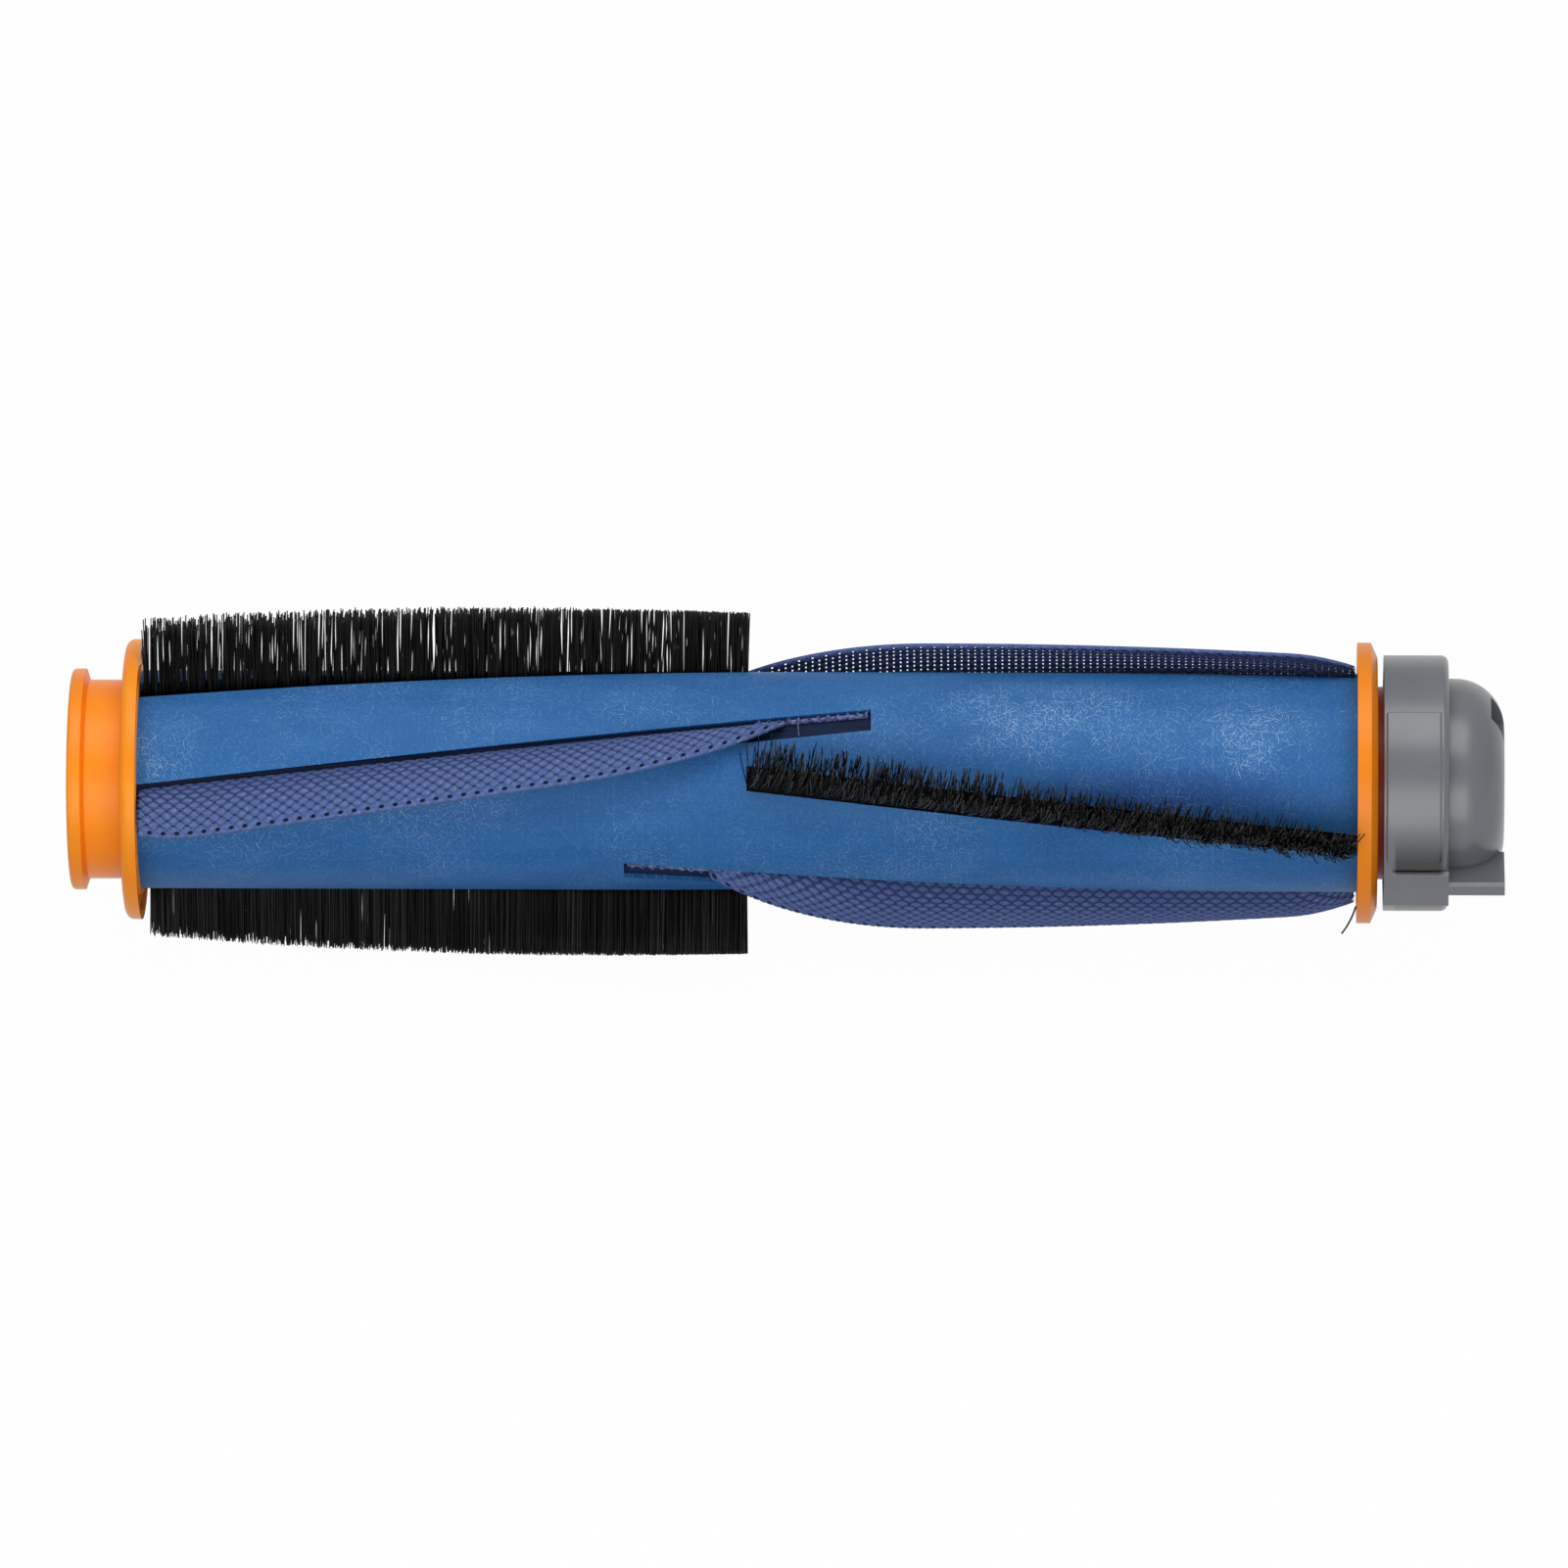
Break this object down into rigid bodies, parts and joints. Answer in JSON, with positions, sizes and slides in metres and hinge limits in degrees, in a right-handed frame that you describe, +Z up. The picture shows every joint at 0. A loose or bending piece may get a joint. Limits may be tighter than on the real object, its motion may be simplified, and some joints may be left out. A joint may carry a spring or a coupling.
{
  "type": "robot vacuum roller brush",
  "caption": "Roller brush for a robot vacuum: a blue core with helical bristle strips and folded mesh flaps in a chevron, a spool drive end and a cap that turns freely on a stub shaft.",
  "frame": {"origin": "on the roller's axis at the outer face of the drive end", "axes": "+X along the roller's axis towards the bearing cap, +Z up as the roller lies on a table"},
  "size_m": [0.2, 0.0464, 0.0464],
  "materials": {
    "core_blue": "satin, a little translucent, with fine scuffs",
    "end_orange": "smooth moulded plastic",
    "cap_grey": "satin moulded plastic",
    "strip_black": "extruded soft plastic",
    "bristle_black": "nylon filaments",
    "mesh_blue": "knitted mesh cloth, folded double",
    "steel": "ground",
    "bush_bronze": "sintered"
  },
  "bodies": {
    "roller": {"roller_core": "core_blue", "drive_end_cap": "end_orange", "bearing_end_hub": "end_orange", "stub_shaft": "steel", "thrust_washer": "steel", "bristle_spine_drive_1": "strip_black", "bristles_drive_1": "bristle_black", "flap_bead_drive_1": "strip_black", "mesh_flap_drive_1": "mesh_blue", "bristle_spine_drive_2": "strip_black", "bristles_drive_2": "bristle_black", "flap_bead_drive_2": "strip_black", "mesh_flap_drive_2": "mesh_blue", "bristle_spine_bearing_1": "strip_black", "bristles_bearing_1": "bristle_black", "flap_bead_bearing_1": "strip_black", "mesh_flap_bearing_1": "mesh_blue", "bristle_spine_bearing_2": "strip_black", "bristles_bearing_2": "bristle_black", "flap_bead_bearing_2": "strip_black", "mesh_flap_bearing_2": "mesh_blue"},
    "bush": {"sleeve_bush": "bush_bronze"},
    "end_cap": {"bearing_cap": "cap_grey", "bush_retainer": "steel"}
  },
  "joints": [
    {"name": "cap_pull_off", "type": "slide", "parent": "roller", "child": "bush", "axis": [1, 0, 0], "range_m": [0, 0.014]},
    {"name": "cap_spin", "type": "hinge", "parent": "bush", "child": "end_cap", "pos_m": [0.193, 0, 0], "axis": [1, 0, 0], "continuous": true}
  ]
}
